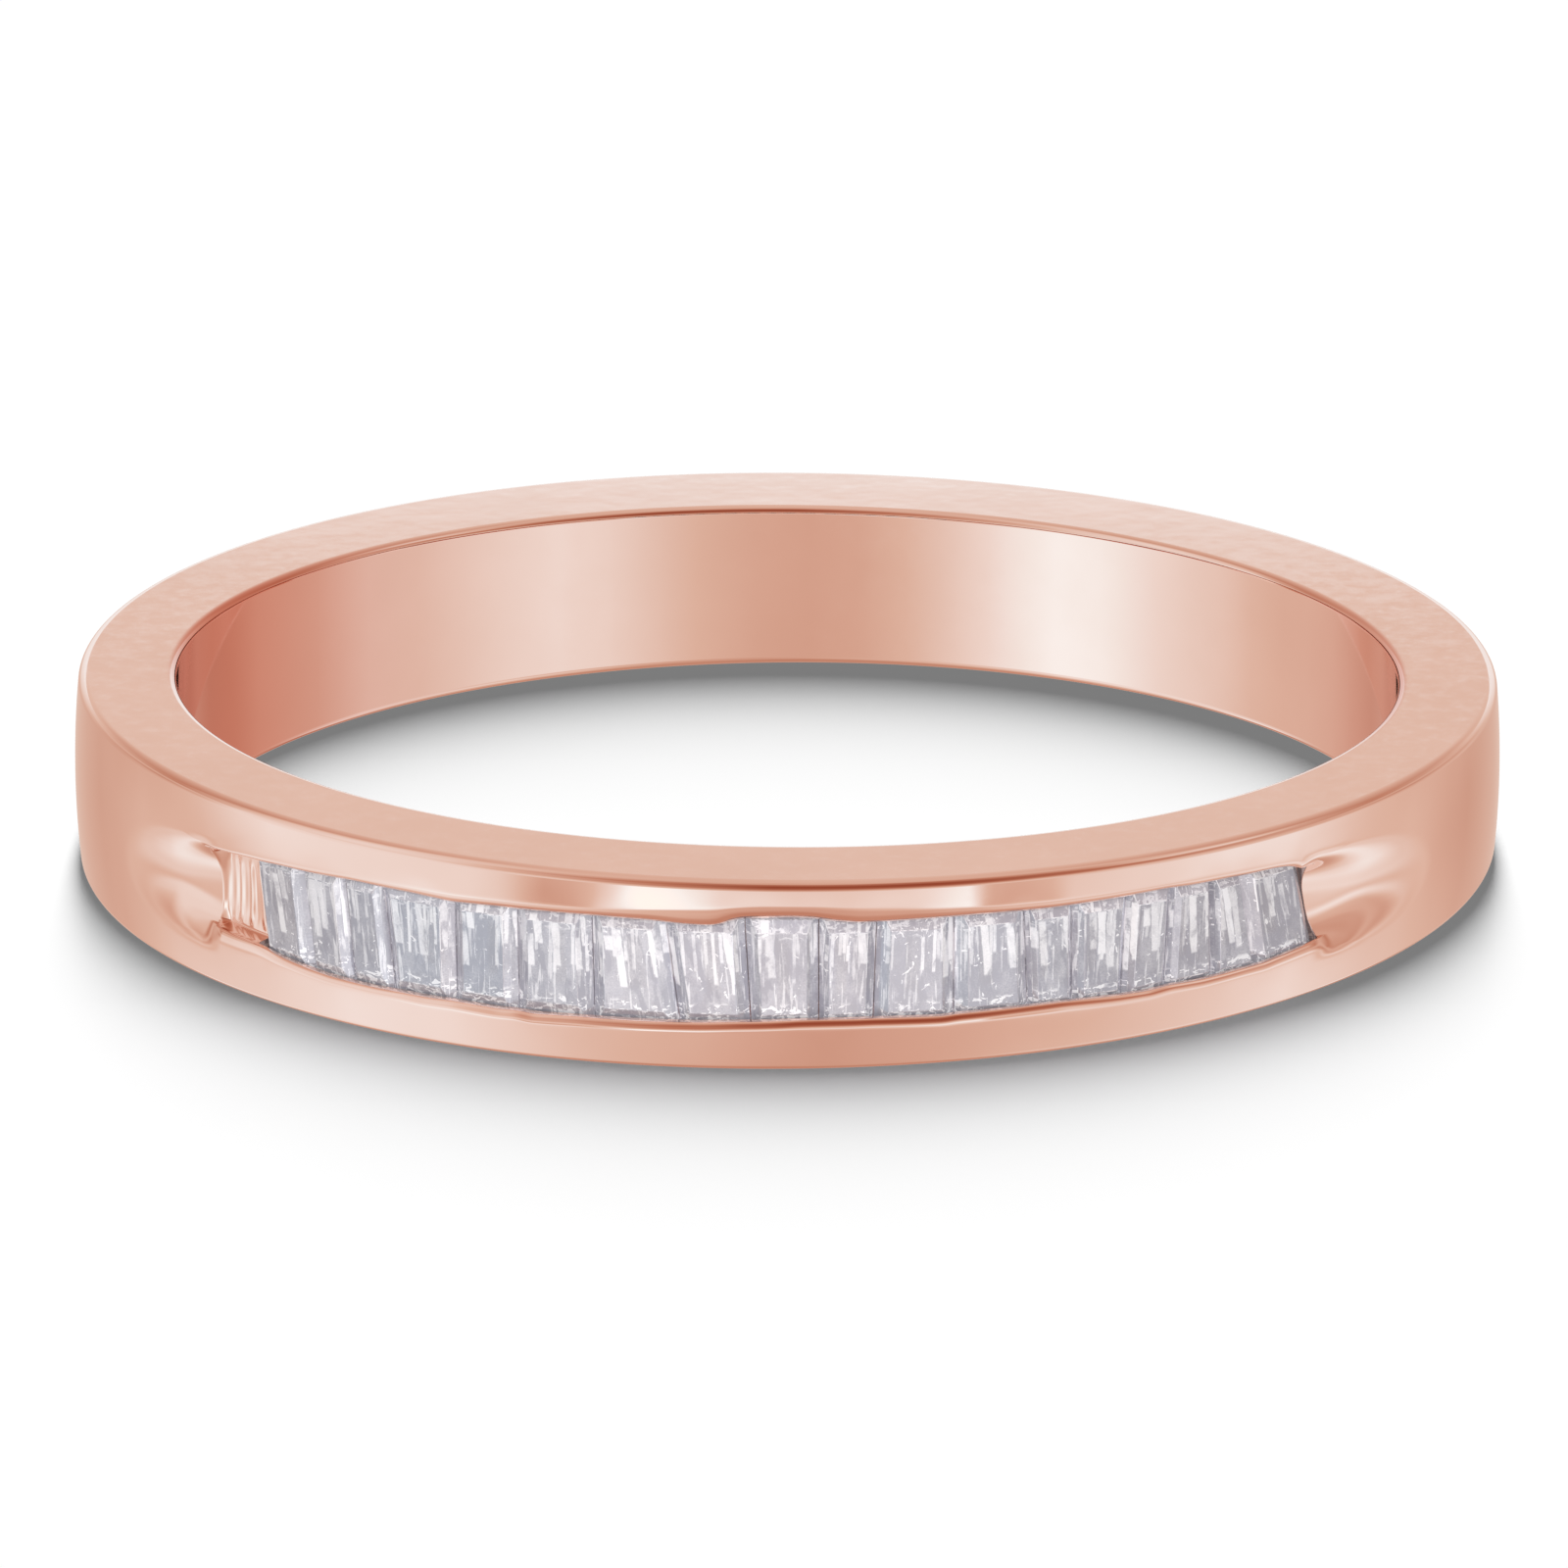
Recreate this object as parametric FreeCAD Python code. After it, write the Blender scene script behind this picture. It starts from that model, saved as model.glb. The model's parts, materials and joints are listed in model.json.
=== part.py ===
import FreeCAD, Part
import math
import os

from FreeCAD import Vector

# Channel-set wedding band, lying on its side: +Z is the finger axis, the stones face -Y.
# The origin is on the bore's axis at mid width. Lengths are in millimetres, angles in degrees.
# Angles round the head are measured about HEAD_CENTRE from -Y and grow towards +X.
# Depths are measured inwards from the head circle; a negative depth is outside it.

# ---------------------------------------------------------------- band
BORE_R = 8.65            # finger bore radius (17.3 mm inside diameter, US size 7)
OUT_A = 10.10            # outer plan ellipse: half length along X
OUT_B = 10.60            # outer plan ellipse: half length along Y
OUT_Y0 = 0.10            # centre of that ellipse along Y
DOME_SAG = 0.065         # how far the domed outer wall falls away at DOME_Z
DOME_Z = 1.25            # half width at which that fall is measured
HALF_W0 = 1.262          # half width of the band on the bore's axis
HALF_W_SLOPE_X = -0.0065 # change of half width per mm of x: wider at the -X side
HALF_W_SLOPE_Y = -0.0075 # change of half width per mm of y: wider at the stones
OUT_FILLET = 0.14        # rounding of the two outer rims
IN_FILLET = 0.10         # rounding of the two bore rims (comfort edge)

RING_HALF_W = 2.2        # half width of the raw ring, before its sides are trimmed
RING_IN_R = 5.0          # inner radius of the raw ring, inside the bore
SLAB_REACH = 12.0        # the trimming slab reaches this far along X and Y
BORE_CUT_HALF = 4.0      # half length of the bore's cutter

# Limits that pick the rim edges out of the blank's edges
RIM_MIN_Z = 1.0          # rims lie at least this far from mid width
RIM_MIN_LENGTH = 10.0
OUTER_RIM_CLEAR = 0.3    # outer rims lie at least this far outside the bore
BORE_RIM_TOLERANCE = 1e-3

# ---------------------------------------------------------------- stones
# Seams between neighbouring stones: (angle at mid width, lean of the seam from +Z).
# A positive lean takes the +Z end of the seam towards smaller angles.
SEAMS = [
    (-47.24, 9.6), (-41.46, 8.8), (-36.94, 7.1), (-32.82, 7.5), (-26.29, 1.1), (-20.58, 1.0),
    (-14.02, 1.5), (-7.32, 7.7), (-1.09, 3.3), (4.74, 0.0), (9.38, -2.0), (15.98, 0.0),
    (22.19, 2.6), (26.30, 0.0), (31.13, -3.3), (35.34, -3.5), (39.79, 1.2), (43.55, 11.0),
    (50.70, 14.6),
]
SEAM_GAP = 0.012         # half of the gap between neighbouring stones
GIRDLE_TOP_D = 0.295
GIRDLE_BOTTOM_D = 0.355
GIRDLE_D = (GIRDLE_TOP_D + GIRDLE_BOTTOM_D) / 2  # where the seams are laid out
GIRDLE_L = 0.89          # half length of the girdle across the band
# Stone outlines from table to culet:
# (depth, share of the half width cut away at each side, half length across the band)
STONE_LEVELS = [
    (0.150, 0.34, 0.58),                # table
    (0.225, 0.16, 0.76),                # break between the crown's steps
    (GIRDLE_TOP_D, 0.0, GIRDLE_L),
    (GIRDLE_BOTTOM_D, 0.0, GIRDLE_L),
    (0.55, 0.30, 0.72),                 # first pavilion step
    (0.72, 0.62, 0.53),                 # second pavilion step
    (0.85, 0.86, 0.36),                 # culet
]

# ---------------------------------------------------------------- head (the stone-set front)
HEAD_R = 9.797           # circle that the outer wall follows across the head
HEAD_CENTRE = Vector(0, -0.703, 0)
SHELF_FROM = -52.70      # the -X end of the opening: a shallow shelf runs to the channel
SHELF_OVERLAP = 0.6      # angle by which the shelf runs into the channel
POCKET_FROM = -48.60     # ends of the stone channel
POCKET_TO = 51.30
POCKET_END_LEAN = SEAMS[-1][1]  # the +X end wall leans with the last seam
POCKET_OVERRUN = 3.0     # angle the channel's cutter is made too long, then trimmed to the lean

# Half sections as (depth, half width)
SHELF = [(-0.40, 0.66), (0.00, 0.60), (0.30, 0.57), (0.40, 0.50)]
# bevelled lip, seat under the lip, bearing under the stones' pavilions, side walls, floor
CHANNEL = [
    (-0.40, 0.84), (0.00, 0.80), (0.12, 0.72), (0.165, 0.72), (0.265, 0.905),
    (0.385, 0.905), (0.525, 0.78), (0.92, 0.62),
]

# One window under each stone, from the channel floor through to the bore
WINDOW_MARGIN = 0.21     # share of each stone's pitch left on either side of its window
WINDOW_Z_FLOOR = 0.36    # half length of a window at the channel floor
WINDOW_Z_BORE = 0.58     # half length of a window at WINDOW_BORE_D
WINDOW_BORE_D = 1.80     # depth near the bore's wall
WINDOW_OVERLAP = 0.05    # how far a window's cutter starts above the channel floor
WINDOW_IN_R = 7.0        # radius about HEAD_CENTRE where the cutter ends, inside the bore

# Scooped run-outs past each end of the opening: part of a ring-shaped cutter (round section)
SCOOP_R = 1.04           # radius of the cutter's round section
SCOOP_SWEEP_R = 3.2      # radius of the scoop's bottom line
# (start angle, way it runs, depth at the start, length to where it runs out,
#  fall of the outer wall below its tangent over that length, height off mid width)
SCOOPS = [
    (SHELF_FROM, -1, 0.21, 1.87, 0.19, -0.10),
    (POCKET_TO, 1, 0.20, 2.24, 0.26, -0.02),
]


# ---------------------------------------------------------------- helpers
def polygon_face(points):
    return Part.Face(Part.makePolygon(points + [points[0]]))


def solid_from_levels(levels):
    """A flat-faced solid through a stack of four-cornered outlines."""
    faces = [polygon_face(levels[0]), polygon_face(levels[-1])]
    for one, other in zip(levels, levels[1:]):
        for i in range(4):
            j = (i + 1) % 4
            faces.append(polygon_face([one[i], one[j], other[j], other[i]]))
    solid = Part.Solid(Part.makeShell(faces))
    if solid.Volume < 0:
        solid.reverse()
    return solid


def head_point(angle, depth, z=0.0):
    """A point at an angle round the head circle and a depth below it."""
    turn = math.radians(angle)
    radius = HEAD_R - depth
    return Vector(radius * math.sin(turn), HEAD_CENTRE.y - radius * math.cos(turn), z)


def head_axes(angle):
    """Tangent (towards growing angle) and outward normal at an angle round the head circle."""
    turn = math.radians(angle)
    tangent = Vector(math.cos(turn), math.sin(turn), 0)
    normal = Vector(math.sin(turn), -math.cos(turn), 0)
    return tangent, normal


def revolve_on_head(half_section, angle_from, angle_to):
    """Mirrors a (depth, half width) section about mid width and turns it round the head."""
    section = half_section + [(depth, -z) for depth, z in reversed(half_section)]
    face = polygon_face([head_point(angle_from, depth, z) for depth, z in section])
    return face.revolve(HEAD_CENTRE, Vector(0, 0, 1), angle_to - angle_from)


def block_on_head(angle, way, back, length, depth, height, half_width, lean=0.0):
    """A block on the head circle, starting `back` before the angle and running `way`.

    Only its start face leans.
    """
    tangent, normal = head_axes(angle)
    tangent = tangent * way
    start = head_point(angle, 0) - tangent * back
    shift = -way * math.tan(math.radians(lean)) * half_width
    outline = [
        (-shift, -half_width), (length, -half_width), (length, half_width), (shift, half_width),
    ]
    return solid_from_levels([
        [start + tangent * along + normal * out + Vector(0, 0, z) for along, z in outline]
        for out in (-depth, height)
    ])


# ---------------------------------------------------------------- band
def make_ring():
    """The raw ring: domed outside, elliptical in plan, wider than the band."""
    edge_r = OUT_B - DOME_SAG * (RING_HALF_W / DOME_Z) ** 2
    outer_top = Vector(edge_r, 0, RING_HALF_W)
    inner_top = Vector(RING_IN_R, 0, RING_HALF_W)
    inner_low = Vector(RING_IN_R, 0, -RING_HALF_W)
    outer_low = Vector(edge_r, 0, -RING_HALF_W)
    wire = Part.Wire([
        Part.Arc(outer_low, Vector(OUT_B, 0, 0), outer_top).toShape(),
        Part.makeLine(outer_top, inner_top),
        Part.makeLine(inner_top, inner_low),
        Part.makeLine(inner_low, outer_low),
    ])
    ring = Part.Face(wire).revolve(Vector(0, 0, 0), Vector(0, 0, 1), 360)
    squeeze = FreeCAD.Matrix()
    squeeze.A11 = OUT_A / OUT_B
    squeeze.A24 = OUT_Y0
    return ring.transformGeometry(squeeze)


def make_slab():
    """The space between the band's two tapering sides."""
    def side_point(x, y, way):
        return Vector(x, y, way * (HALF_W0 + HALF_W_SLOPE_X * x + HALF_W_SLOPE_Y * y))

    reach = SLAB_REACH
    corners = [(-reach, -reach), (reach, -reach), (reach, reach), (-reach, reach)]
    return solid_from_levels([[side_point(x, y, way) for x, y in corners] for way in (1, -1)])


def rim_edges(solid, min_r, max_r):
    """The long edges away from mid width whose middle lies between two radii."""
    rims = []
    for edge in solid.Edges:
        middle = edge.valueAt((edge.FirstParameter + edge.LastParameter) / 2)
        is_rim = abs(middle.z) >= RIM_MIN_Z and edge.Length >= RIM_MIN_LENGTH
        if is_rim and min_r <= math.hypot(middle.x, middle.y) <= max_r:
            rims.append(edge)
    return rims


def make_blank():
    """The plain band: domed outside, tapering sides, round bore, rounded rims."""
    bore = Part.makeCylinder(BORE_R, 2 * BORE_CUT_HALF, Vector(0, 0, -BORE_CUT_HALF))
    blank = make_ring().common(make_slab()).cut(bore).Solids[0]
    outer = rim_edges(blank, BORE_R + OUTER_RIM_CLEAR, math.inf)
    blank = blank.makeFillet(OUT_FILLET, outer)
    inner = rim_edges(blank, BORE_R - BORE_RIM_TOLERANCE, BORE_R + BORE_RIM_TOLERANCE)
    return blank.makeFillet(IN_FILLET, inner).Solids[0]


def make_channel():
    """The stone channel's cutter, trimmed to a leaning wall at its +X end."""
    channel = revolve_on_head(CHANNEL, POCKET_FROM, POCKET_TO + POCKET_OVERRUN)
    return channel.cut(block_on_head(
        POCKET_TO, 1, back=0.0, length=2.5, depth=2.0, height=1.5, half_width=1.4,
        lean=POCKET_END_LEAN,
    ))


def make_scoop(angle, way, depth, length, drop, height):
    """A ring-shaped cutter whose bottom line starts at the opening's end and climbs out."""
    tangent, normal = head_axes(angle)
    rise = depth - drop
    # the bottom line's lowest point: distance along the tangent, and depth
    low_at = (length ** 2 - 2 * SCOOP_SWEEP_R * rise) / (2 * length)
    lowest = depth + low_at ** 2 / (2 * SCOOP_SWEEP_R)
    centre = (head_point(angle, 0) + tangent * way * low_at
              + normal * (SCOOP_SWEEP_R - lowest) + Vector(0, 0, height))
    torus = Part.makeTorus(SCOOP_SWEEP_R - SCOOP_R, SCOOP_R, centre, Vector(0, 0, 1))
    # keep the part of the ring on the run-out side, which starts inside the opening
    return torus.common(block_on_head(
        angle, way, back=0.35, length=4.0, depth=1.6, height=3.0, half_width=1.5,
    ))


def make_windows():
    """One cutter for each stone's window, flaring towards the bore."""
    top = CHANNEL[-1][0] - WINDOW_OVERLAP
    bottom = HEAD_R - WINDOW_IN_R
    flare = (WINDOW_Z_BORE - WINDOW_Z_FLOOR) / (WINDOW_BORE_D - top)
    section = [(top, WINDOW_Z_FLOOR), (bottom, WINDOW_Z_FLOOR + flare * (bottom - top))]
    windows = []
    for (left, _), (right, _) in zip(SEAMS, SEAMS[1:]):
        margin = (right - left) * WINDOW_MARGIN
        windows.append(revolve_on_head(section, left + margin, right - margin))
    return windows


def make_band():
    band = make_blank().cut(make_channel())
    band = band.cut(revolve_on_head(SHELF, SHELF_FROM, POCKET_FROM + SHELF_OVERLAP))
    for scoop in SCOOPS:
        band = band.cut(make_scoop(*scoop))
    for window in make_windows():
        band = band.cut(window)
    return band.Solids[0]


# ---------------------------------------------------------------- stones
def make_stone(left_seam, right_seam):
    """A straight baguette between two seams, long across the band, with flat stepped facets."""
    left, right = left_seam[0], right_seam[0]
    left_lean, right_lean = [math.tan(math.radians(seam[1])) for seam in (left_seam, right_seam)]
    tangent, normal = head_axes((left + right) / 2)
    half = (HEAD_R - GIRDLE_D) * math.tan(math.radians((right - left) / 2)) - SEAM_GAP
    # the narrowest half width over the girdle's length
    least = half - abs(left_lean - right_lean) / 2 * GIRDLE_L
    # a flat stone in a curved channel: it sits half its chord's rise deeper
    widest = half + max(abs(left_lean), abs(right_lean)) * GIRDLE_L
    sink = widest ** 2 / (4 * HEAD_R)

    levels = []
    for depth, share, length in STONE_LEVELS:
        width = half - share * least
        middle = HEAD_CENTRE + normal * (HEAD_R - depth - sink)
        outline = [
            (-width - left_lean * -length, -length), (width - right_lean * -length, -length),
            (width - right_lean * length, length), (-width - left_lean * length, length),
        ]
        levels.append([middle + tangent * along + Vector(0, 0, z) for along, z in outline])
    return solid_from_levels(levels)


def main():
    os.makedirs("parts", exist_ok=True)
    make_band().exportStep("parts/band.step")
    for number, (left, right) in enumerate(zip(SEAMS, SEAMS[1:]), start=1):
        make_stone(left, right).exportStep("parts/baguette_%02d.step" % number)


main()
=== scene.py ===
"""A channel-set wedding band: a domed rose gold hoop with a row of baguette stones.

The ring lies flat. Its finger hole runs along Z round the origin and its stones face -Y. The band
is one swept mesh with hand-worked lips, pocket ends, scooped run-outs and light windows modelled in
it. Its sections stand round the head circle, whose centre is at y = HEAD_Y: their angle is 0 at -Y
and grows towards +X, and a point's rho is its distance from that centre. The stones are the frame's
own, bevelled. Lengths are in millimetres, and angles in tables in degrees.
"""
import json
import math

import bmesh
import bpy
import numpy as np
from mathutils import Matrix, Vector


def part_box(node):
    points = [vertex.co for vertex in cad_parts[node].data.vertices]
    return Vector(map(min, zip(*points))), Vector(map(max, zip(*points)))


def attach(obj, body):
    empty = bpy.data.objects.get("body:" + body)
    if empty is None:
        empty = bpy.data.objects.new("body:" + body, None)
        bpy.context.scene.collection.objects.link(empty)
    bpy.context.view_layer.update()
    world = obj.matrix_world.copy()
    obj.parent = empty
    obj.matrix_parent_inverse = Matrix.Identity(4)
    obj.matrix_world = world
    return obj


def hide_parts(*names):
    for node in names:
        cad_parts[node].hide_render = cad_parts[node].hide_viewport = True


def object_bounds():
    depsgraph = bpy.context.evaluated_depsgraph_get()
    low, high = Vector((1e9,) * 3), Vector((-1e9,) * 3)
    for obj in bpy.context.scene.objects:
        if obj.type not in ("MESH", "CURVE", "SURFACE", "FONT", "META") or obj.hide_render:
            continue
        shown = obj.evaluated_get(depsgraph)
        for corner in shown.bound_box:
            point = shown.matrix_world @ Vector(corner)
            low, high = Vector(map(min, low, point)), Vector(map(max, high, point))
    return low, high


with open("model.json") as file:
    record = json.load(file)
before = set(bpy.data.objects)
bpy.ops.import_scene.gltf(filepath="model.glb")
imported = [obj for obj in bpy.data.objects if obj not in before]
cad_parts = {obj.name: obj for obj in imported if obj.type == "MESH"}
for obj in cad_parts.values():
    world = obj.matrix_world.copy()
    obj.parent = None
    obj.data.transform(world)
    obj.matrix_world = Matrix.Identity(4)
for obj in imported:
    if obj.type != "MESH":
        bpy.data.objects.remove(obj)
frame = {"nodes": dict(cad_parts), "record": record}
cad_lo, cad_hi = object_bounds()
MM = 0.001

# ------------------------------------------------------------------ hoop
BORE_R = next(m["dims"]["r_mm"] for m in frame["record"]["mounts"] if m["name"] == "finger_bore")
# outer ellipse: half sizes along X and Y, and its centre's Y
OUT_A, OUT_B, OUT_Y = 10.10, 10.60, 0.10
band_lo, band_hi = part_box("band")
frame_a = (band_hi[0] - band_lo[0]) / MM / 2
if abs(frame_a - OUT_A) >= 0.03:
    OUT_A = frame_a
DOME_R = 12.12                   # dome of the outer wall across the width
HALF_W, SLOPE_X, SLOPE_Y = 1.262, -0.0065, -0.0075    # half width at the origin, and its slopes
TOP_FILLET, LOW_FILLET, IN_FILLET = 0.13, 0.06, 0.10
HEAD_R, HEAD_Y = 9.797, -0.703

# ------------------------------------------------------------------ channel
POCKET_FROM, POCKET_TO = -52.70, 50.83
SHELF_TO, SHELF_D = -47.40, 0.40      # end of the shallow shelf on the -X side, and its depth
SEAMS = [-47.24, -41.46, -36.94, -32.82, -26.29, -20.58, -14.02, -7.32, -1.09, 4.74, 9.38, 15.98,
         22.19, 26.30, 31.13, 35.34, 39.79, 43.55, 50.70]
# lean of the stones at each seam
LEANS = [9.6, 8.8, 7.1, 7.5, 1.1, 1.0, 1.5, 7.7, 3.3, 0, -2, 0, 2.6, 0, -3.3, -3.5, 1.2, 11, 14.6]

# depths below the head circle and half lengths along Z of the channel's profile
FLOOR_D, FLOOR_RISE, FLOOR_Z = 0.92, 0.03, 0.60
WALL_FOOT_Z = 0.615
WALL_TOP_D, WALL_TOP_Z = 0.525, 0.78
SEAT_RISE, UNDERCUT = 0.14, 0.125
CEILING_D, CEILING_RISE = 0.345, 0.08
CEILING_Z = WALL_TOP_Z + UNDERCUT
CROWN_GAP = 0.014                # between the stones' crowns and the lips
LIP_THICK = 0.045
ROLL_ARC = math.radians(80)
# half length along the stones' crowns, and the crowns' depth there
CROWN_Z, CROWN_D = [0, .58, .76, .89, .95], [.15, .15, .225, .295, .33]

# light windows from the bore to the channel floor
WINDOW_MARGIN = 0.21             # web beside a window, as a share of the seam spacing
WINDOW_Z = 0.372                 # half length at the floor
BORE_EDGE, FLOOR_EDGE = 0.02, 0.006    # growth of the soft rims
BORE_TURN_R, FLOOR_TURN_R = 8.0, 8.9   # radii that turn rim growth into angle
WINDOW_POWER = 9.0               # squareness of the rounded corners
# height above the rim in the bore and growth there; then a height below the floor
RIM_STEPS = ((.0055, .0065), (.013, .0015), (.022, 0))
FLOOR_STEP = .012

# scooped run-outs: side (-1 is -X), angles where the bowl starts to close and has run out, depth,
# half width, Z of its middle and drift of that middle
SCOOPS = [(-1, 51.2, 67.5, 0.30, 0.80, -0.09, -0.05),
          (1, 49.4, 68.0, 0.32, 0.785, -0.01, -0.06)]

# hand-pushed lips on the +Z and -Z sides of the stones: angle, half width of the opening
LIP_UP = [(-53.2, .56), (-50.5, .600), (-47.5, .620), (-45, .645), (-43.5, .660), (-40, .680),
          (-36, .715), (-30, .715), (-26, .690), (-22, .715), (-18, .723), (-14, .730), (-9, .723),
          (-6.2, .694), (-4.3, .690), (-3.3, .704), (-2.4, .763), (-1.4, .791), (.5, .800),
          (2.4, .806), (4.2, .795), (5.2, .772), (6.2, .752), (8, .727), (11, .733), (18, .743),
          (24, .730), (30, .742), (34.6, .753), (37, .728), (40, .720), (43, .700), (45.8, .687),
          (47.4, .660), (48.8, .615), (50.0, .58), (52.5, .56)]
LIP_LOW = [(-53.2, .55), (-50.5, .570), (-47.5, .575), (-45.5, .600), (-43.8, .648), (-42.4, .668),
           (-41, .690), (-38.4, .718), (-34, .727), (-31, .713), (-28.8, .720), (-26, .704),
           (-22, .720), (-20.2, .706), (-19, .728), (-17, .716), (-15, .703), (-10, .695),
           (-5, .677), (-2, .652), (0, .643), (3, .622), (9, .615), (14.8, .636), (16, .620),
           (20, .608), (25, .602), (30, .628), (33, .636), (34.8, .612), (38, .627), (42, .612),
           (44.7, .612), (46, .590), (47.4, .572), (48.9, .548), (50.2, .53), (52.5, .53)]
# angle, Z where the upper lip's rolled edge meets the rail
ROLL_UP_END = [(-54, .62), (-49, .68), (-44, .765), (-40, .79), (-36, .83), (-28, .83), (-20, .85),
               (-12, .88), (-6, .94), (0, 1.0), (4, 1.0), (8, .97), (14, .92), (20, .88), (30, .87),
               (37, .85), (43, .81), (47, .77), (50, .70), (54, .68)]
ROLL_UP_MIN = 0.06
# angle, width of the lower lip's rolled edge
ROLL_LOW = [(-54, .20), (-49, .19), (-43, .12), (-36, .12), (-20, .15), (8, .16), (26, .15),
            (42, .13), (50, .15), (54, .18)]

# ------------------------------------------------------------------ points of half a section
N_WINDOW = 6            # from mid width to a window's edge
N_FLOOR, N_WALL, N_SEAT, N_CEIL, N_LIP, N_ROLL, N_RAIL = 4, 4, 4, 5, 3, 10, 12
N_FILLET, N_SIDE, N_BORE = 9, 8, 8
# Z of each run of channel points where there is no channel: start, reach
SPREAD = {"window": (0, .36), "floor": (.36, .12), "wall": (.48, .05), "seat": (.53, .03),
          "ceiling": (.56, .04), "lip": (.60, .03), "roll": (.63, .17)}
CEILING_END, LIP_END, ROLL_END = .60, .63, .80


def lerp(start, end, t):
    return start + (end - start) * t


def fractions(count):
    return [i / count for i in range(1, count + 1)]


def smooth_step(x, start, end):
    t = np.clip((x - start) / (end - start), 0, 1)
    return t * t * (3 - 2 * t)


def between(x, rise, fall):
    """1 between the two ranges, eased up over rise and down over fall."""
    return smooth_step(x, *rise) * (1 - smooth_step(x, *fall))


def smooth_table(table, at, width):
    """A table's values at some angles: straight between its points, softened over width."""
    step, reach = 0.05, 40
    angles, values = np.array(table).T
    grid = np.arange(angles[0] - 2, angles[-1] + 2, step)
    raw = np.interp(grid, angles, values)
    kernel = np.exp(-0.5 * (np.arange(-reach, reach + 1) * step / width) ** 2)
    soft = np.convolve(np.pad(raw, reach, mode="edge"), kernel / kernel.sum(), mode="valid")
    return np.interp(at, grid, soft)


def crown_depth(z):
    return np.interp(z, CROWN_Z, CROWN_D)


def outer_rho(angle, z):
    """Rho of the domed elliptical outer wall."""
    sag = DOME_R - np.sqrt(DOME_R ** 2 - np.asarray(z, float) ** 2)
    half_y = OUT_B - sag
    half_x = half_y * OUT_A / OUT_B
    sin, cos = np.sin(angle), np.cos(angle)
    y = HEAD_Y - OUT_Y
    # the quadratic of a ray from the head circle's centre meeting the ellipse
    square = (sin / half_x) ** 2 + (cos / half_y) ** 2
    linear = -2 * y * cos / half_y ** 2
    constant = (y / half_y) ** 2 - 1
    return (-linear + np.sqrt(linear * linear - 4 * square * constant)) / (2 * square)


def bore_rho(angle):
    return HEAD_Y * np.cos(angle) + np.sqrt(BORE_R ** 2 - HEAD_Y ** 2 * np.sin(angle) ** 2)


def half_width(rho, angle):
    """Half width of the band between its flat sides, which are not quite parallel."""
    x, y = rho * np.sin(angle), HEAD_Y - rho * np.cos(angle)
    return HALF_W + SLOPE_X * x + SLOPE_Y * y


# ------------------------------------------------------------------ stations round the ring
def lay_stations():
    """Angles of the sections, and the first and last section of each window."""
    # angle, spacing of the sections from there on
    marks = [(-180, .5), (-90, .35), (-68, .10),
             (POCKET_FROM - .5, .035), (POCKET_FROM + .5, .06)]
    windows = []
    for seam, next_seam in zip(SEAMS, SEAMS[1:]):
        web = (next_seam - seam) * WINDOW_MARGIN
        window = (seam + web, next_seam - web)
        windows.append(window)
        marks += [(edge, .16) for edge in window]
    marks += [(POCKET_TO - .45, .035), (POCKET_TO + .45, .12), (68, .35), (90, .5), (180, 0)]
    stations, place = [], {}
    for (start, step), (end, _) in zip(marks, marks[1:]):
        count = max(3, int(round((end - start) / step)))
        place[round(start, 4)] = len(stations)
        stations += list(start + (end - start) * np.arange(count) / count)
    edges = [(place[round(start, 4)], place[round(end, 4)]) for start, end in windows]
    return np.radians(np.array(stations)), edges


ANGLES, WINDOWS = lay_stations()
STATIONS = len(ANGLES)
DEGREES = np.degrees(ANGLES)
# how far the channel, the rails beside it and the even spread of the points are in force
IN_CHANNEL = between(DEGREES, (POCKET_FROM - .40, POCKET_FROM + .40),
                     (POCKET_TO - .18, POCKET_TO + .20))
IN_RAILS = between(DEGREES, (POCKET_FROM - 1.4, POCKET_FROM + 1.6),
                   (POCKET_TO - 1.6, POCKET_TO + 1.4))
IN_SPREAD = between(DEGREES, (POCKET_FROM - 11, POCKET_FROM - .5),
                    (POCKET_TO + .1, POCKET_TO + 11))


# ------------------------------------------------------------------ sections
def scoop_cut(angle, z):
    """Depth cut below the outer wall by the run-outs past the ends of the channel."""
    deepest = np.zeros(np.broadcast(angle, z).shape)
    for side, start, end, depth, half, middle, drift in SCOOPS:
        along = np.degrees(angle) * side
        s = np.clip((along - start) / (end - start), 0, 1)
        reach = half * np.sqrt(np.maximum(1 - s ** 3, 1e-4))
        across = np.minimum(np.abs(z - middle - drift * s) / reach, 1)
        near = np.abs(along - start) < 30
        # nearly flat-bottomed where it meets the channel, a soft bowl further out
        power = 2 + 1.3 * (1 - smooth_step(s, 0, .5))
        cut = near * depth * (1 - s * s) ** 2 * (1 - across ** power) ** 2
        deepest = np.maximum(deepest, cut)
    return deepest


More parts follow.
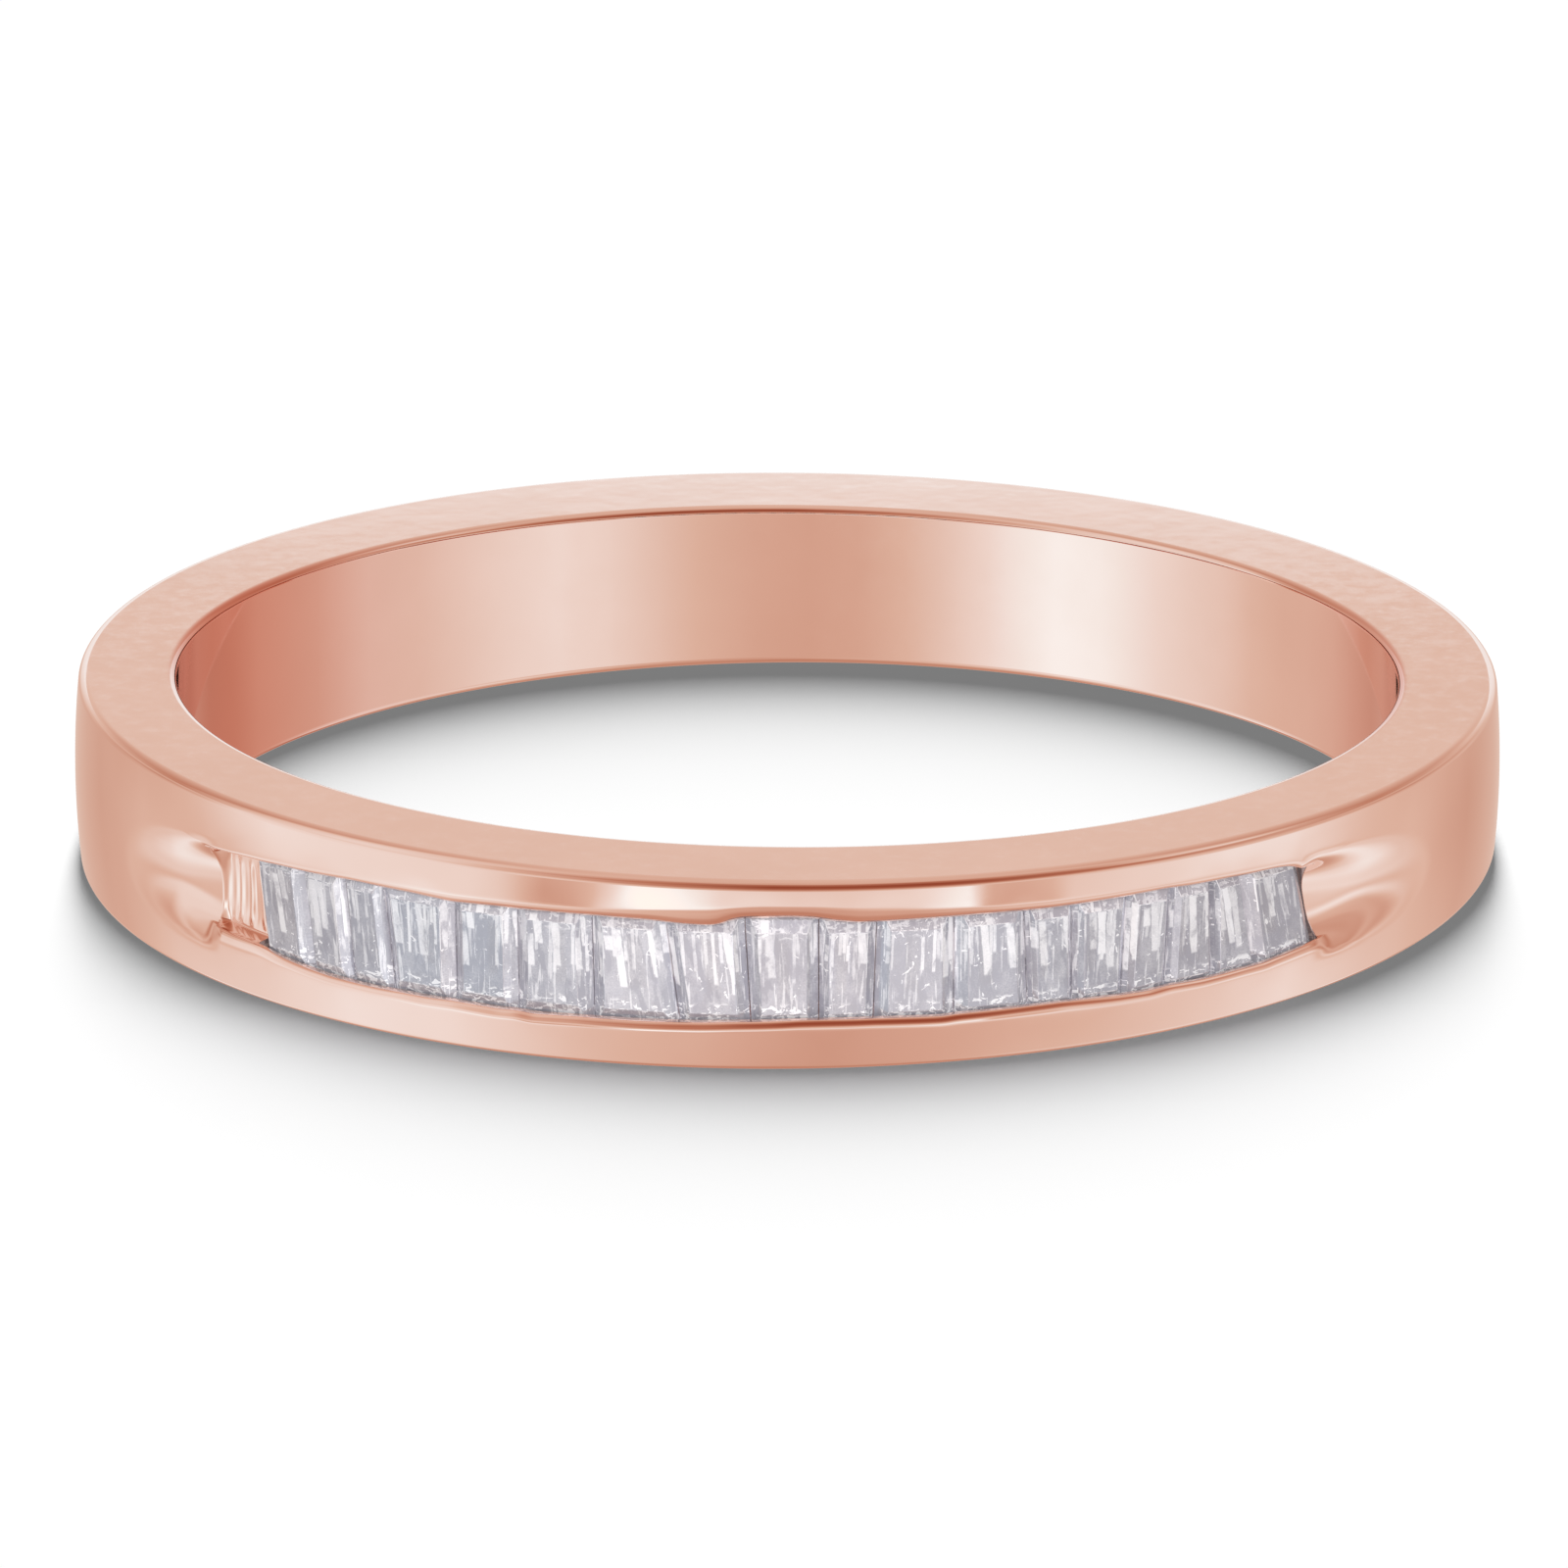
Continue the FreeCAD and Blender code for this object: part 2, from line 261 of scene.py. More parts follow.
def channel_columns(lip, roll, under, thick):
    """Depth, Z and spread Z of the points from mid width to the end of the rolled edge.

    On the rolled edge the depth is a share, from 1 near the lip's edge to 0 at the rail.
    """
    columns = []

    def add(run, t, depth, z):
        start, reach = SPREAD[run]
        columns.append([np.broadcast_to(v, STATIONS) for v in (depth, z, start + reach * t)])

    for t in [0.0] + fractions(N_WINDOW):
        add("window", t, FLOOR_D, WINDOW_Z * t)
    for t in fractions(N_FLOOR):
        add("floor", t, FLOOR_D - FLOOR_RISE * t ** 3, lerp(WINDOW_Z, FLOOR_Z, t))
    for t in fractions(N_WALL):
        add("wall", t, lerp(FLOOR_D - FLOOR_RISE, WALL_TOP_D, t),
            lerp(WALL_FOOT_Z, WALL_TOP_Z, t))
    for t in fractions(N_SEAT):
        add("seat", t, WALL_TOP_D - SEAT_RISE * t,
            WALL_TOP_Z + UNDERCUT * math.sin(math.pi * t / 2))
    # underside of the lip, out to its edge just clear of the crowns
    for t in fractions(N_CEIL):
        z = lerp(CEILING_Z, lip, t)
        ceiling = CEILING_D - CEILING_RISE * min(t * 3, 1)
        add("ceiling", t, np.minimum(ceiling, crown_depth(z) - CROWN_GAP), z)
    for t in fractions(N_LIP):
        add("lip", t, under - thick * t, lip - .004 * math.sin(math.pi * t))
    for t in fractions(N_ROLL):
        turn = ROLL_ARC * (1 - t)
        add("roll", t, (1 - math.cos(turn)) / (1 - math.cos(ROLL_ARC)),
            lip + roll * (1 - math.sin(turn) / math.sin(ROLL_ARC)))
    return np.array(columns, float).transpose(1, 2, 0)


def shelve(depth, z, spread, lip, under):
    """Turns the channel on the -X side of the first stone into a shallow shelf."""
    shelf = 1 - smooth_step(DEGREES, SHELF_TO - .10, SHELF_TO + .10)[:, None]
    # the cutter's marks: two waves along the shelf
    marks = .016 * np.sin(DEGREES * 4.6) + .007 * np.sin(DEGREES * 8.3 + 1.0)
    shelf_z = np.minimum(spread / CEILING_END, 1) * (lip + .015)[:, None]
    floor = SHELF_D - .01 - .04 * (np.minimum(shelf_z, .6) / .6) ** 2
    floor = floor + marks[:, None] * (1 - smooth_step(shelf_z, .30, .50))
    rise = smooth_step(spread, .545, CEILING_END)
    shelf_d = lerp(floor, np.minimum(under[:, None], floor), rise)
    past = spread > CEILING_END
    shelf_d = np.where(past, depth, shelf_d)
    shelf_z = np.where(past, z, shelf_z)
    return lerp(depth, shelf_d, shelf), lerp(z, shelf_z, shelf)


def half_face(side, lip, roll, fillet_z):
    """Rho and Z of one half's outer face, from mid width to the outer fillet."""
    angle, degrees = ANGLES[:, None], DEGREES[:, None]
    under = crown_depth(lip) - CROWN_GAP
    thick = np.minimum(LIP_THICK, under * .35)
    depth, z, spread = channel_columns(lip, roll, under, thick)
    head = slice(0, depth.shape[1] - N_ROLL)
    rolled = slice(head.stop, depth.shape[1])

    roll_end = (lip + roll)[:, None]
    rail_t = (np.arange(1, N_RAIL + 1) / N_RAIL) ** 0.9
    rail_t[-2] = 1 - .015
    z = np.hstack([z, lerp(roll_end, fillet_z[:, None], rail_t)])
    spread = np.hstack([spread, lerp(ROLL_END, fillet_z[:, None], rail_t)])
    depth[:, head], z[:, head] = shelve(depth[:, head], z[:, head], spread[:, head], lip, under)

    rho = outer_rho(angle, z)
    rho[:, head] = HEAD_R - depth[:, head]
    # from the rail's face down to the lip's edge
    lip_rho = (HEAD_R - (under - thick))[:, None]
    rho[:, rolled] -= depth[:, rolled] * (outer_rho(angle, roll_end) - lip_rho)
    # hand-worked ripple of the rails, strongest beside the lip
    near = np.exp(-((z - (lip + roll * .8)[:, None]) / .16) ** 2) * (z > (lip[:, None] + .02))
    ripple = (np.sin(degrees * .62 + 1.3 * side) + .6 * np.sin(degrees * 1.13 + 2.1)
              + .5 * np.sin(degrees * 0.33 - .7 * side)) / 2.1
    rho -= .0030 * near * ripple

    # away from the channel: a plain wall with the scooped run-outs
    is_head = np.arange(z.shape[1]) < head.stop
    even = np.where(is_head, spread / LIP_END * lip[:, None], z)
    plain_z = lerp(spread, even, IN_SPREAD[:, None])
    plain_rho = outer_rho(angle, plain_z) - scoop_cut(angle, plain_z * side)
    share = np.where(is_head, IN_CHANNEL[:, None], IN_RAILS[:, None])
    return (lerp(plain_rho, rho, share),
            np.where(is_head, lerp(plain_z, z, share), plain_z))


def half_section(side, lip, roll, fillet):
    """Rho and Z of all points of the half on the +Z (side 1) or -Z (side -1) of mid width."""
    angle = ANGLES[:, None]
    fillet_z = half_width(outer_rho(ANGLES, 1.12), ANGLES) - fillet
    face_rho, face_z = half_face(side, lip, roll, fillet_z)

    # outer fillet, from the dome's slope to the flat side
    lean = np.arctan(1.1 / DOME_R)
    centre = face_rho[:, -1] - fillet * math.cos(lean)
    plane = half_width(centre, ANGLES)
    turn = lean + (math.pi / 2 - lean) * np.arange(1, N_FILLET + 1) / N_FILLET
    fillet_rho = centre[:, None] + fillet * np.cos(turn)
    climb = (np.sin(turn) - math.sin(lean)) / (1 - math.sin(lean))
    outer_z = lerp(fillet_z[:, None], plane[:, None], climb)

    # flat side
    bore = bore_rho(ANGLES)
    inner = bore + IN_FILLET
    t = np.concatenate([[.012], np.arange(1, N_SIDE - 1) / (N_SIDE - 1), [.988, 1.0]])
    side_rho = lerp(centre[:, None], inner[:, None], t)
    side_z = half_width(side_rho, angle)

    # inner fillet
    bore_top = side_z[:, -1:] - IN_FILLET
    turn = math.pi / 2 * (1 + np.arange(1, N_FILLET + 1) / N_FILLET)
    inner_rho = inner[:, None] + IN_FILLET * np.cos(turn)
    inner_z = bore_top + IN_FILLET * np.sin(turn)

    # bore, to the windows' rim and on to mid width; windows flare more where the metal is thick
    flare = .36 + .2366 * (HEAD_R - bore - .87)
    rim = (np.clip(flare, .50, .62) + BORE_EDGE)[:, None]
    t = np.concatenate([[.012], np.arange(1, N_BORE) / N_BORE, [1.0]])
    bore_z = np.hstack([lerp(bore_top, rim, t),
                        rim * (1 - np.arange(1, N_WINDOW + 1) / N_WINDOW)])
    bore_all = np.repeat(bore[:, None], bore_z.shape[1], 1)
    return (np.hstack([face_rho, fillet_rho, side_rho, inner_rho, bore_all]),
            np.hstack([face_z, outer_z, side_z, inner_z, bore_z]) * side)


# ------------------------------------------------------------------ band
def squircle(u, v):
    size = (abs(u) ** WINDOW_POWER + abs(v) ** WINDOW_POWER) ** (1 / WINDOW_POWER)
    return u / size, v / size


def cut_windows(angle, rho, z, bore_mid):
    """Shapes the rims of the windows in place.

    Returns the points inside the windows (angle, rho, Z), the quads of their walls, and the cells
    (station, column) of the sweep that they open. Point row is counted from mid width: floor column
    row, bore column bore_mid - row.
    """
    columns = angle.shape[1]
    points, walls, opened = [], [], set()
    for first, last in WINDOWS:
        middle, half = (ANGLES[first] + ANGLES[last]) / 2, (ANGLES[last] - ANGLES[first]) / 2
        loop = ([(first, row) for row in range(-N_WINDOW, N_WINDOW)]
                + [(i, N_WINDOW) for i in range(first, last)]
                + [(last, row) for row in range(N_WINDOW, -N_WINDOW, -1)]
                + [(i, -N_WINDOW) for i in range(last, first, -1)])
        rings = []
        for i, row in loop:
            u, v = squircle((ANGLES[i] - middle) / half, row / N_WINDOW)
            at_bore, at_floor = (i, bore_mid - row), (i, row % columns)
            # the far sides of the loop read a Z that this loop has already rounded
            edge_z = abs(z[i, bore_mid - N_WINDOW]) - BORE_EDGE
            bore_angle = middle + u * (half + BORE_EDGE / BORE_TURN_R)
            rho_at_bore = float(bore_rho(bore_angle))
            angle[at_bore] = bore_angle
            rho[at_bore] = rho_at_bore
            z[at_bore] = v * (edge_z + BORE_EDGE)
            angle[at_floor] = middle + u * (half + FLOOR_EDGE / FLOOR_TURN_R)
            rho[at_floor] = HEAD_R - FLOOR_D
            z[at_floor] = v * (WINDOW_Z + FLOOR_EDGE)
            start = np.array([middle + u * half, rho_at_bore, v * edge_z])
            end = np.array([middle + u * half, HEAD_R - FLOOR_D, v * WINDOW_Z])
            length = end[1] - start[1]
            ring = []
            for height, grow in RIM_STEPS + ((length * .5, 0), (length - FLOOR_STEP, 0)):
                point = start + (end - start) * height / length
                point[0] += u * grow / BORE_TURN_R
                point[2] += v * grow
                ring.append(point)
            rings.append(ring)
        count, depth = len(loop), len(rings[0])
        base = angle.size + len(points)
        points += [rings[i][k] for k in range(depth) for i in range(count)]
        chains = [[i * columns + bore_mid - row]
                  + [base + k * count + place for k in range(depth)]
                  + [i * columns + row % columns] for place, (i, row) in enumerate(loop)]
        for one, two in zip(chains, chains[1:] + chains[:1]):
            for k in range(depth + 1):
                walls.append((one[k], two[k], two[k + 1], one[k + 1]))
        for i in range(first, last):
            for row in range(-N_WINDOW, N_WINDOW):
                opened |= {(i, bore_mid - row - 1), (i, row % columns)}
    return np.array(points), np.array(walls), opened


def face_normals(co, quads):
    one, two, three, four = (co[quads[:, k]] for k in range(4))
    return np.cross(three - one, four - two)


def build_band():
    """Points and quads of the whole band."""
    lip_up = smooth_table(LIP_UP, DEGREES, .35)
    lip_low = smooth_table(LIP_LOW, DEGREES, .35)
    roll_up = np.maximum(smooth_table(ROLL_UP_END, DEGREES, 1.0) - lip_up, ROLL_UP_MIN)
    roll_low = smooth_table(ROLL_LOW, DEGREES, 1.0)
    top_rho, top_z = half_section(1, lip_up, roll_up, TOP_FILLET)
    low_rho, low_z = half_section(-1, lip_low, roll_low, LOW_FILLET)
    bore_mid = top_rho.shape[1] - 1
    columns = 2 * bore_mid
    rho = np.hstack([top_rho, low_rho[:, bore_mid - 1:0:-1]])
    z = np.hstack([top_z, low_z[:, bore_mid - 1:0:-1]])
    angle = np.repeat(ANGLES[:, None], columns, 1)

    # the channel's end walls lean with the first and the last stone
    degrees = np.degrees(angle)
    right = between(degrees, (POCKET_TO - 3.2, POCKET_TO - .5), (POCKET_TO + .8, POCKET_TO + 9))
    left = between(degrees, (SHELF_TO - 2.5, SHELF_TO - .3), (SHELF_TO + .3, SHELF_TO + 2.5))
    lean = math.tan(math.radians(LEANS[-1])) * right + math.tan(math.radians(LEANS[0])) * left
    lean = lean * (rho > BORE_R + .45) * (1 - smooth_step(np.abs(z), .62, 1.0))
    angle = angle - z / HEAD_R * lean

    inner, walls, opened = cut_windows(angle, rho, z, bore_mid)
    angle = np.concatenate([angle.ravel(), inner[:, 0]])
    rho = np.concatenate([rho.ravel(), inner[:, 1]])
    z = np.concatenate([z.ravel(), inner[:, 2]])
    co = np.stack([rho * np.sin(angle), HEAD_Y - rho * np.cos(angle), z], 1)

    i, j = np.arange(STATIONS)[:, None], np.arange(columns)[None, :]
    i2, j2 = (i + 1) % STATIONS, (j + 1) % columns
    corners = [i * columns + j, i2 * columns + j, i2 * columns + j2, i * columns + j2]
    quads = np.stack(np.broadcast_arrays(*corners), -1)
    keep = np.ones((STATIONS, columns), bool)
    for cell in opened:
        keep[cell] = False
    sweep = quads[keep]
    # the sweep has to face outwards
    if (face_normals(co, sweep) * co[sweep].mean(1)).sum() < 0:
        sweep = sweep[:, ::-1]
    # a window wall has to run against its neighbour along their shared edge
    directed = set(zip(sweep.T.ravel().tolist(), np.roll(sweep, -1, 1).T.ravel().tolist()))
    if (int(walls[0, 0]), int(walls[0, 1])) in directed:
        walls = walls[:, ::-1]
    return co, np.vstack([sweep, walls])


def make_mesh(name, co, quads):
    mesh = bpy.data.meshes.new(name)
    mesh.vertices.add(len(co))
    mesh.vertices.foreach_set("co", (co * MM).astype(np.float32).ravel())
    mesh.loops.add(quads.size)
    mesh.loops.foreach_set("vertex_index", quads.astype(np.int32).ravel())
    mesh.polygons.add(len(quads))
    mesh.polygons.foreach_set("loop_start", np.arange(0, quads.size, 4, dtype=np.int32))
    mesh.polygons.foreach_set("use_smooth", np.ones(len(quads), bool))
    mesh.update(calc_edges=True)
    mesh.validate()
    # area-weighted normals keep the flats flat beside the fine roundings
    faces = face_normals(co, quads)
    normals = np.zeros_like(co)
    for k in range(4):
        np.add.at(normals, quads[:, k], faces)
    normals /= np.linalg.norm(normals, axis=1)[:, None] + 1e-30
    mesh.normals_split_custom_set_from_vertices([tuple(v) for v in normals])
    return mesh


# ------------------------------------------------------------------ node helpers
class Nodes:
    """Short ways to fill a node tree. An input may be given a value or another node's socket."""

    def __init__(self, tree):
        self.tree = tree
        tree.nodes.clear()

    def new(self, kind, inputs=None, **settings):
        node = self.tree.nodes.new(kind)
        for name, value in settings.items():
            setattr(node, name, value)
        for key, value in (inputs or {}).items():
            if hasattr(value, "is_output"):
                self.tree.links.new(value, node.inputs[key])
            else:
                node.inputs[key].default_value = value
        return node

    def math(self, operation, a, b=0.0, clamp=False):
        node = self.new("ShaderNodeMath", {0: a, 1: b}, operation=operation, use_clamp=clamp)
        return node.outputs[0]

    def add(self, a, b):
        return self.math("ADD", a, b)

    def sub(self, a, b):
        return self.math("SUBTRACT", a, b)

    def mul(self, a, b):
        return self.math("MULTIPLY", a, b)

    def max(self, a, b):
        return self.math("MAXIMUM", a, b)

    def length(self, x, y):
        return self.math("SQRT", self.add(self.math("POWER", x, 2.0), self.math("POWER", y, 2.0)))

    def separate(self, vector):
        return self.new("ShaderNodeSeparateXYZ", {0: vector}).outputs

    def combine(self, x, y, z=0.0):
        return self.new("ShaderNodeCombineXYZ", {0: x, 1: y, 2: z}).outputs[0]

    def step(self, x, start, end, low=0.0, high=1.0):
        inputs = {"Value": x, "From Min": start, "From Max": end, "To Min": low, "To Max": high}
        node = self.new("ShaderNodeMapRange", inputs, interpolation_type="SMOOTHSTEP")
        return node.outputs["Result"]

    def mix_value(self, share, a, b):
        return self.new("ShaderNodeMix", {0: share, 2: a, 3: b}, data_type="FLOAT").outputs[0]

    def mix_color(self, share, a, b, blend="MIX"):
        return self.new("ShaderNodeMix", {0: share, 6: a, 7: b}, data_type="RGBA",
                        blend_type=blend).outputs[2]

    def ramp(self, share, stops):
        """A linear ramp through stops of (position, (red, green, blue))."""
        node = self.new("ShaderNodeValToRGB", {0: share})
        color_ramp = node.color_ramp
        color_ramp.interpolation = "LINEAR"
        elements = color_ramp.elements
        while len(elements) > 1:
            elements.remove(elements[-1])
        for k, (position, color) in enumerate(stops):
            element = elements[0] if k == 0 else elements.new(position)
            element.position = position
            element.color = (*color, 1)
        return node.outputs[0]

    def noise(self, vector, scale, detail, rough=.5, distort=0.0):
        inputs = {"Vector": vector, "Scale": scale, "Detail": detail, "Roughness": rough,
                  "Distortion": distort}
        return self.new("ShaderNodeTexNoise", inputs, noise_dimensions="3D").outputs["Fac"]


def new_material(name):
    """A material, its nodes and the input that takes its surface."""
    mat = bpy.data.materials.new(name)
    mat.use_nodes = True
    nodes = Nodes(mat.node_tree)
    return mat, nodes, nodes.new("ShaderNodeOutputMaterial").inputs[0]


# ------------------------------------------------------------------ materials
def rose_gold():
    mat, nodes, surface = new_material("rose_gold_polish")
    shader = nodes.new("ShaderNodeBsdfPrincipled", {"Metallic": 1.0})
    place = nodes.new("ShaderNodeTexCoord").outputs["Object"]
    place = nodes.new("ShaderNodeVectorMath", {0: place, "Scale": 1 / MM},
                      operation="SCALE").outputs[0]
    # slow drift of the alloy's colour
    drift = nodes.noise(place, scale=.55, detail=3)
    color = nodes.mix_color(nodes.step(drift, start=.3, end=.7),
                            (.885, .668, .588, 1), (.905, .692, .615, 1))
    # painted shade: deep inside the hoop, where the metal would mostly see itself, its colour is
    # multiplied to a darker, deeper rose
    x, y, _ = nodes.separate(place)
    reach = nodes.length(x, y)
    ahead = nodes.add(y, nodes.mul(nodes.math("MINIMUM", x, 0.0), .35))
    painted_shade = nodes.mul(nodes.step(ahead, start=6.4, end=-.6),
                     nodes.step(ahead, start=-5.5, end=-1.5))
    painted_shade = nodes.mul(nodes.step(reach, start=8.80, end=8.70), painted_shade)
    color = nodes.mix_color(
        painted_shade, color, nodes.mix_color(1.0, color, (.80, .42, .34, 1), blend="MULTIPLY"))
    # uneven polish
    haze = nodes.noise(place, scale=3.2, detail=4, rough=.6)
    flat = nodes.new("ShaderNodeVectorMath", {0: place, 1: (1, 1, 6.0)}, operation="MULTIPLY")
    fine = nodes.noise(flat.outputs[0], scale=9.0, detail=5, rough=.65)
    rough = nodes.add(nodes.step(haze, start=.35, end=.75, low=.035, high=.075),
                      nodes.step(fine, start=.45, end=.8, low=0.0, high=.03))
    # hairline polishing marks that run round the band, over a gentle skin
    x, y, z = nodes.separate(place)
    around = nodes.math("ARCTAN2", x, y)
    radial = nodes.length(x, y)
    hairs = nodes.combine(nodes.mul(around, 1.5), nodes.mul(radial, 22.0), nodes.mul(z, 22.0))
    lines = nodes.noise(hairs, scale=1.0, detail=3, rough=.6, distort=.4)
    skin = nodes.noise(place, scale=1.3, detail=2)
    height = nodes.add(nodes.mul(lines, .03), nodes.mul(skin, .8))
    bump = nodes.new("ShaderNodeBump", {"Strength": 1.0, "Distance": 0.8e-6, "Height": height})
    for name, value in (("Base Color", color), ("Roughness", rough), ("Normal", bump.outputs[0])):
        nodes.tree.links.new(value, shader.inputs[name])
    nodes.tree.links.new(shader.outputs[0], surface)
    return mat


def stone_pattern(nodes):
    """Colour of the stones' cloudy body with painted reflections, bright bars and streaks along the
    stone, and the fine grain.
    """
    cut = nodes.new("ShaderNodeAttribute", attribute_name="cut").outputs["Vector"]
    facet = nodes.new("ShaderNodeAttribute", attribute_name="facet").outputs["Fac"]
    seed = nodes.new("ShaderNodeObjectInfo").outputs["Object Index"]
    across, _, along = nodes.separate(cut)

    def place(across_scale, along_scale, seed_step, slant=0.0):
        return nodes.combine(
            nodes.add(nodes.mul(across, across_scale), nodes.mul(along, slant)),
            nodes.mul(along, along_scale),
            nodes.add(nodes.mul(seed, seed_step), nodes.mul(facet, 3.7)))

    def reflection_bars(density, share, slant, longest, seed_step):
        """Painted reflections of the step cut: bright bars along the stone, in columns with their
        own place, length and brightness.
        """
        wander = nodes.noise(place(2.5, 2.0, seed_step), scale=1.0, detail=2, rough=.6)
        at = nodes.add(nodes.mul(across, density), nodes.mul(along, slant))
        at = nodes.add(at, nodes.mul(wander, .7))
        at = nodes.add(at, nodes.mul(seed, 3.37))
        kind = nodes.math("ROUND", nodes.mul(facet, 2.0))
        at = nodes.add(at, nodes.mul(kind, 5.3))
        column = nodes.combine(nodes.math("FLOOR", at), nodes.mul(seed, seed_step))
        white = nodes.new("ShaderNodeTexWhiteNoise", {"Vector": column}, noise_dimensions="2D")
        pick = nodes.new("ShaderNodeSeparateColor", {0: white.outputs["Color"]}).outputs
        here = nodes.math("GREATER_THAN", white.outputs["Value"], 1 - share)
        centre = nodes.mul(nodes.sub(pick[0], .5), 1.0)
        length = nodes.add(nodes.mul(pick[1], longest), .10)
        past = nodes.sub(nodes.math("ABSOLUTE", nodes.sub(along, centre)), length)
        inside = nodes.step(past, start=.02, end=-.02)
        side = nodes.math("ABSOLUTE", nodes.sub(nodes.math("FRACT", at), .5))
        inside = nodes.mul(inside, nodes.step(side, start=.5, end=.36))
        bright = nodes.add(nodes.mul(pick[2], .5), .5)
        return nodes.mul(nodes.mul(here, inside), bright)

    cloud = nodes.noise(place(3.4, 2.2, 1.7), scale=1.0, detail=5, rough=.6, distort=.4)
    reflection_streaks = nodes.noise(place(20.0, 1.6, 5.7, -.5), scale=1.0, detail=2, rough=.55, distort=.15)
    grain = nodes.noise(place(46.0, 40.0, 2.3), scale=1.0, detail=3, rough=.75)
    dull = nodes.noise(place(5.0, 1.4, 7.7, .8), scale=1.0, detail=3, rough=.55, distort=.3)
    flake = nodes.noise(place(7.0, 6.0, 9.1), scale=1.0, detail=2, rough=.6, distort=1.5)
    # painted reflections: the bright bars, and the thin streaks added below, stand in for the step
    # cut's inner reflections
    wide_reflection_bars = reflection_bars(density=8.0, share=.42, slant=.5, longest=.40, seed_step=1.31)
    fine_reflection_bars = reflection_bars(density=19.0, share=.30, slant=-.6, longest=.30, seed_step=2.17)
    value = nodes.max(wide_reflection_bars, nodes.mul(fine_reflection_bars, .8))
    value = nodes.max(value, nodes.mul(nodes.step(reflection_streaks, start=.57, end=.64), .5))
    value = nodes.max(value, nodes.mul(nodes.step(flake, start=.66, end=.69), .95))
    # painted highlights: short bright marks at the stone's ends, strongest at its -Z end
    end_glint = nodes.noise(place(8.0, 15.0, 4.9), scale=1.0, detail=2, distort=.8)
    ends = nodes.max(nodes.step(along, start=-.40, end=-.50),
                     nodes.mul(nodes.step(along, start=.46, end=.54), .5))
    value = nodes.max(value, nodes.mul(ends, nodes.step(end_glint, start=.55, end=.58)))
    value = nodes.mul(value, nodes.step(cloud, start=.34, end=.46, low=.35, high=1.0))
    value = nodes.sub(value, nodes.step(dull, start=.54, end=.62, low=0.0, high=.22))
    # unevenness from the clouds and the grain
    for pattern, strength in ((cloud, .80), (grain, .75)):
        value = nodes.add(value, nodes.mul(nodes.sub(pattern, .5), strength))
    value = nodes.add(value, nodes.mul(facet, .08))
    body = nodes.mix_color(nodes.math("ADD", value, .10, clamp=True),
                           (.335, .318, .352, 1), (1.0, .965, .965, 1))
    return body, grain


def stone_material():
    """A cloudy, heavily included baguette: a milky body with painted reflections and a painted
    glow, under a glassy skin.
    """
    mat, nodes, surface = new_material("baguette_stone")
    body, grain = stone_pattern(nodes)
    milk = nodes.new("ShaderNodeBsdfDiffuse", {"Color": body})
    glass = nodes.new("ShaderNodeBsdfGlass",
                      {"Color": (.93, .95, 1.0, 1), "IOR": 1.9, "Roughness": .12})
    skin_rough = nodes.step(grain, start=.3, end=.7, low=.06, high=.20)
    skin = nodes.new("ShaderNodeBsdfGlossy",
                     {"Color": (.87, .89, .97, 1), "Roughness": skin_rough})
    fresnel = nodes.new("ShaderNodeFresnel", {"IOR": 2.1}).outputs[0]
    inside = nodes.new("ShaderNodeMixShader", {0: .16, 1: milk.outputs[0], 2: glass.outputs[0]})
    coated = nodes.new("ShaderNodeMixShader",
                       {0: fresnel, 1: inside.outputs[0], 2: skin.outputs[0]})
    # painted light: the body's colour glows a little, in place of light scattered up from inside
    # the stone
    painted_glow = nodes.new("ShaderNodeEmission", {"Color": body, "Strength": .14})
    both = nodes.new("ShaderNodeAddShader", {0: coated.outputs[0], 1: painted_glow.outputs[0]})
    nodes.tree.links.new(both.outputs[0], surface)
    return mat


# ------------------------------------------------------------------ stones
STONE_BEVEL = .007
STONE_PUSH, PUSH_FADE = .006, .05     # spread of each stone's sides, and where it fades to 0
BEVEL_AREA = .012                     # square mm; smaller faces count as bevels
BEVEL_SHADE = 1.6


